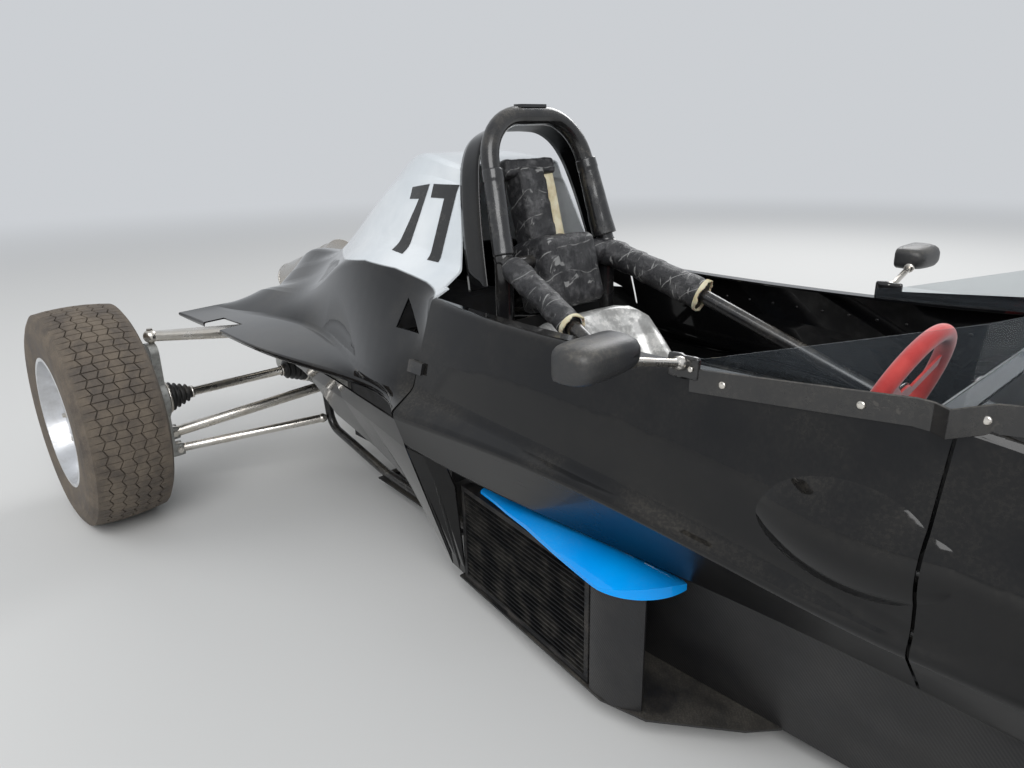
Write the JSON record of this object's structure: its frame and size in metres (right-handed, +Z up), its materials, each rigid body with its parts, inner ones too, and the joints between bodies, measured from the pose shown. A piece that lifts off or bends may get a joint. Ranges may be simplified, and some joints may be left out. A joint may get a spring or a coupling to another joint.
{
  "type": "open wheel racing car",
  "caption": "Open wheel single seat racing car with roll hoop, airbox cover, side pods, rocker arm suspension and steered front wheels.",
  "frame": {"origin": "centre of the footprint box on the ground", "axes": "+X forward along the car, +Y to the driver's left, +Z up"},
  "size_m": [3.8575, 1.6348, 1.009],
  "materials": {
    "gloss_black": "gloss",
    "cover_paint": "gloss",
    "accent_blue": "gloss",
    "black_composite": "satin",
    "frame_black": "satin",
    "nickel": "satin",
    "tyre": "matte",
    "rim": "satin",
    "tape": "matte",
    "seat": "gloss",
    "clear": "gloss",
    "mirror_grey": "satin",
    "cast": "cast",
    "iron": "cast",
    "stainless": "polished",
    "core_black": "matte",
    "red_suede": "matte"
  },
  "bodies": {
    "chassis": {"floor_tray": "black_composite", "cockpit_body": "gloss_black", "nose_cone": "gloss_black", "engine_cover": "cover_paint", "hoop_fairing": "gloss_black", "frame_and_hoop": "frame_black", "hoop_pads": "tape", "headrest": "tape", "driver_seat": "seat", "firewall": "black_composite", "windscreen": "clear", "dash_panel": "black_composite", "gear_lever": "frame_black", "mirrors": "mirror_grey", "engine_block": "iron", "gearbox": "cast", "exhaust": "stainless", "radiators": "core_black", "pod_floors": "black_composite", "pod_tops": "accent_blue", "side_panels": "gloss_black", "rear_uprights": "cast", "driveshafts": "nickel", "rear_rocker_arms": "nickel", "rear_lower_arms": "nickel", "front_rocker_arms": "nickel", "front_lower_arms": "nickel", "rack_housing": "cast", "cover_latches": "frame_black"},
    "right_front_upright": {"right_front_upright": "cast"},
    "left_front_upright": {"left_front_upright": "cast"},
    "steering_rack": {"steering_rack": "nickel"},
    "steering_wheel": {"steering_wheel": "red_suede", "steering_column": "frame_black"},
    "right_rear_wheel": {"right_rear_tyre": "tyre", "right_rear_rim": "rim"},
    "left_rear_wheel": {"left_rear_tyre": "tyre", "left_rear_rim": "rim"},
    "right_front_wheel": {"right_front_tyre": "tyre", "right_front_rim": "rim"},
    "left_front_wheel": {"left_front_tyre": "tyre", "left_front_rim": "rim"}
  },
  "joints": [
    {"name": "left_steer", "type": "hinge", "parent": "chassis", "child": "left_front_upright", "pos_m": [1.245, 0.585, 0.27], "axis": [0, 0, 1], "range_deg": [-18, 18]},
    {"name": "right_steer", "type": "hinge", "parent": "chassis", "child": "right_front_upright", "pos_m": [1.245, -0.585, 0.27], "axis": [0, 0, 1], "range_deg": [-18, 18]},
    {"name": "rack_slide", "type": "slide", "parent": "chassis", "child": "steering_rack", "axis": [0, 1, 0], "range_m": [-0.0312, 0.0312]},
    {"name": "steering_wheel_turn", "type": "hinge", "parent": "chassis", "child": "steering_wheel", "pos_m": [0.475, 0, 0.556], "axis": [-0.9397, 0, 0.342], "range_deg": [-130, 130]},
    {"name": "right_rear_spin", "type": "hinge", "parent": "chassis", "child": "right_rear_wheel", "pos_m": [-1.205, -0.717, 0.2825], "axis": [0, 1, 0], "continuous": true},
    {"name": "left_rear_spin", "type": "hinge", "parent": "chassis", "child": "left_rear_wheel", "pos_m": [-1.205, 0.717, 0.2825], "axis": [0, 1, 0], "continuous": true},
    {"name": "right_front_spin", "type": "hinge", "parent": "right_front_upright", "child": "right_front_wheel", "pos_m": [1.245, -0.7, 0.2675], "axis": [0, 1, 0], "continuous": true},
    {"name": "left_front_spin", "type": "hinge", "parent": "left_front_upright", "child": "left_front_wheel", "pos_m": [1.245, 0.7, 0.2675], "axis": [0, 1, 0], "continuous": true}
  ],
  "couplings": [
    {"joint": "right_steer", "follows": "left_steer", "ratio": 1},
    {"joint": "rack_slide", "follows": "left_steer", "m_per_rad": -0.0984},
    {"joint": "steering_wheel_turn", "follows": "left_steer", "ratio": 7.2}
  ]
}
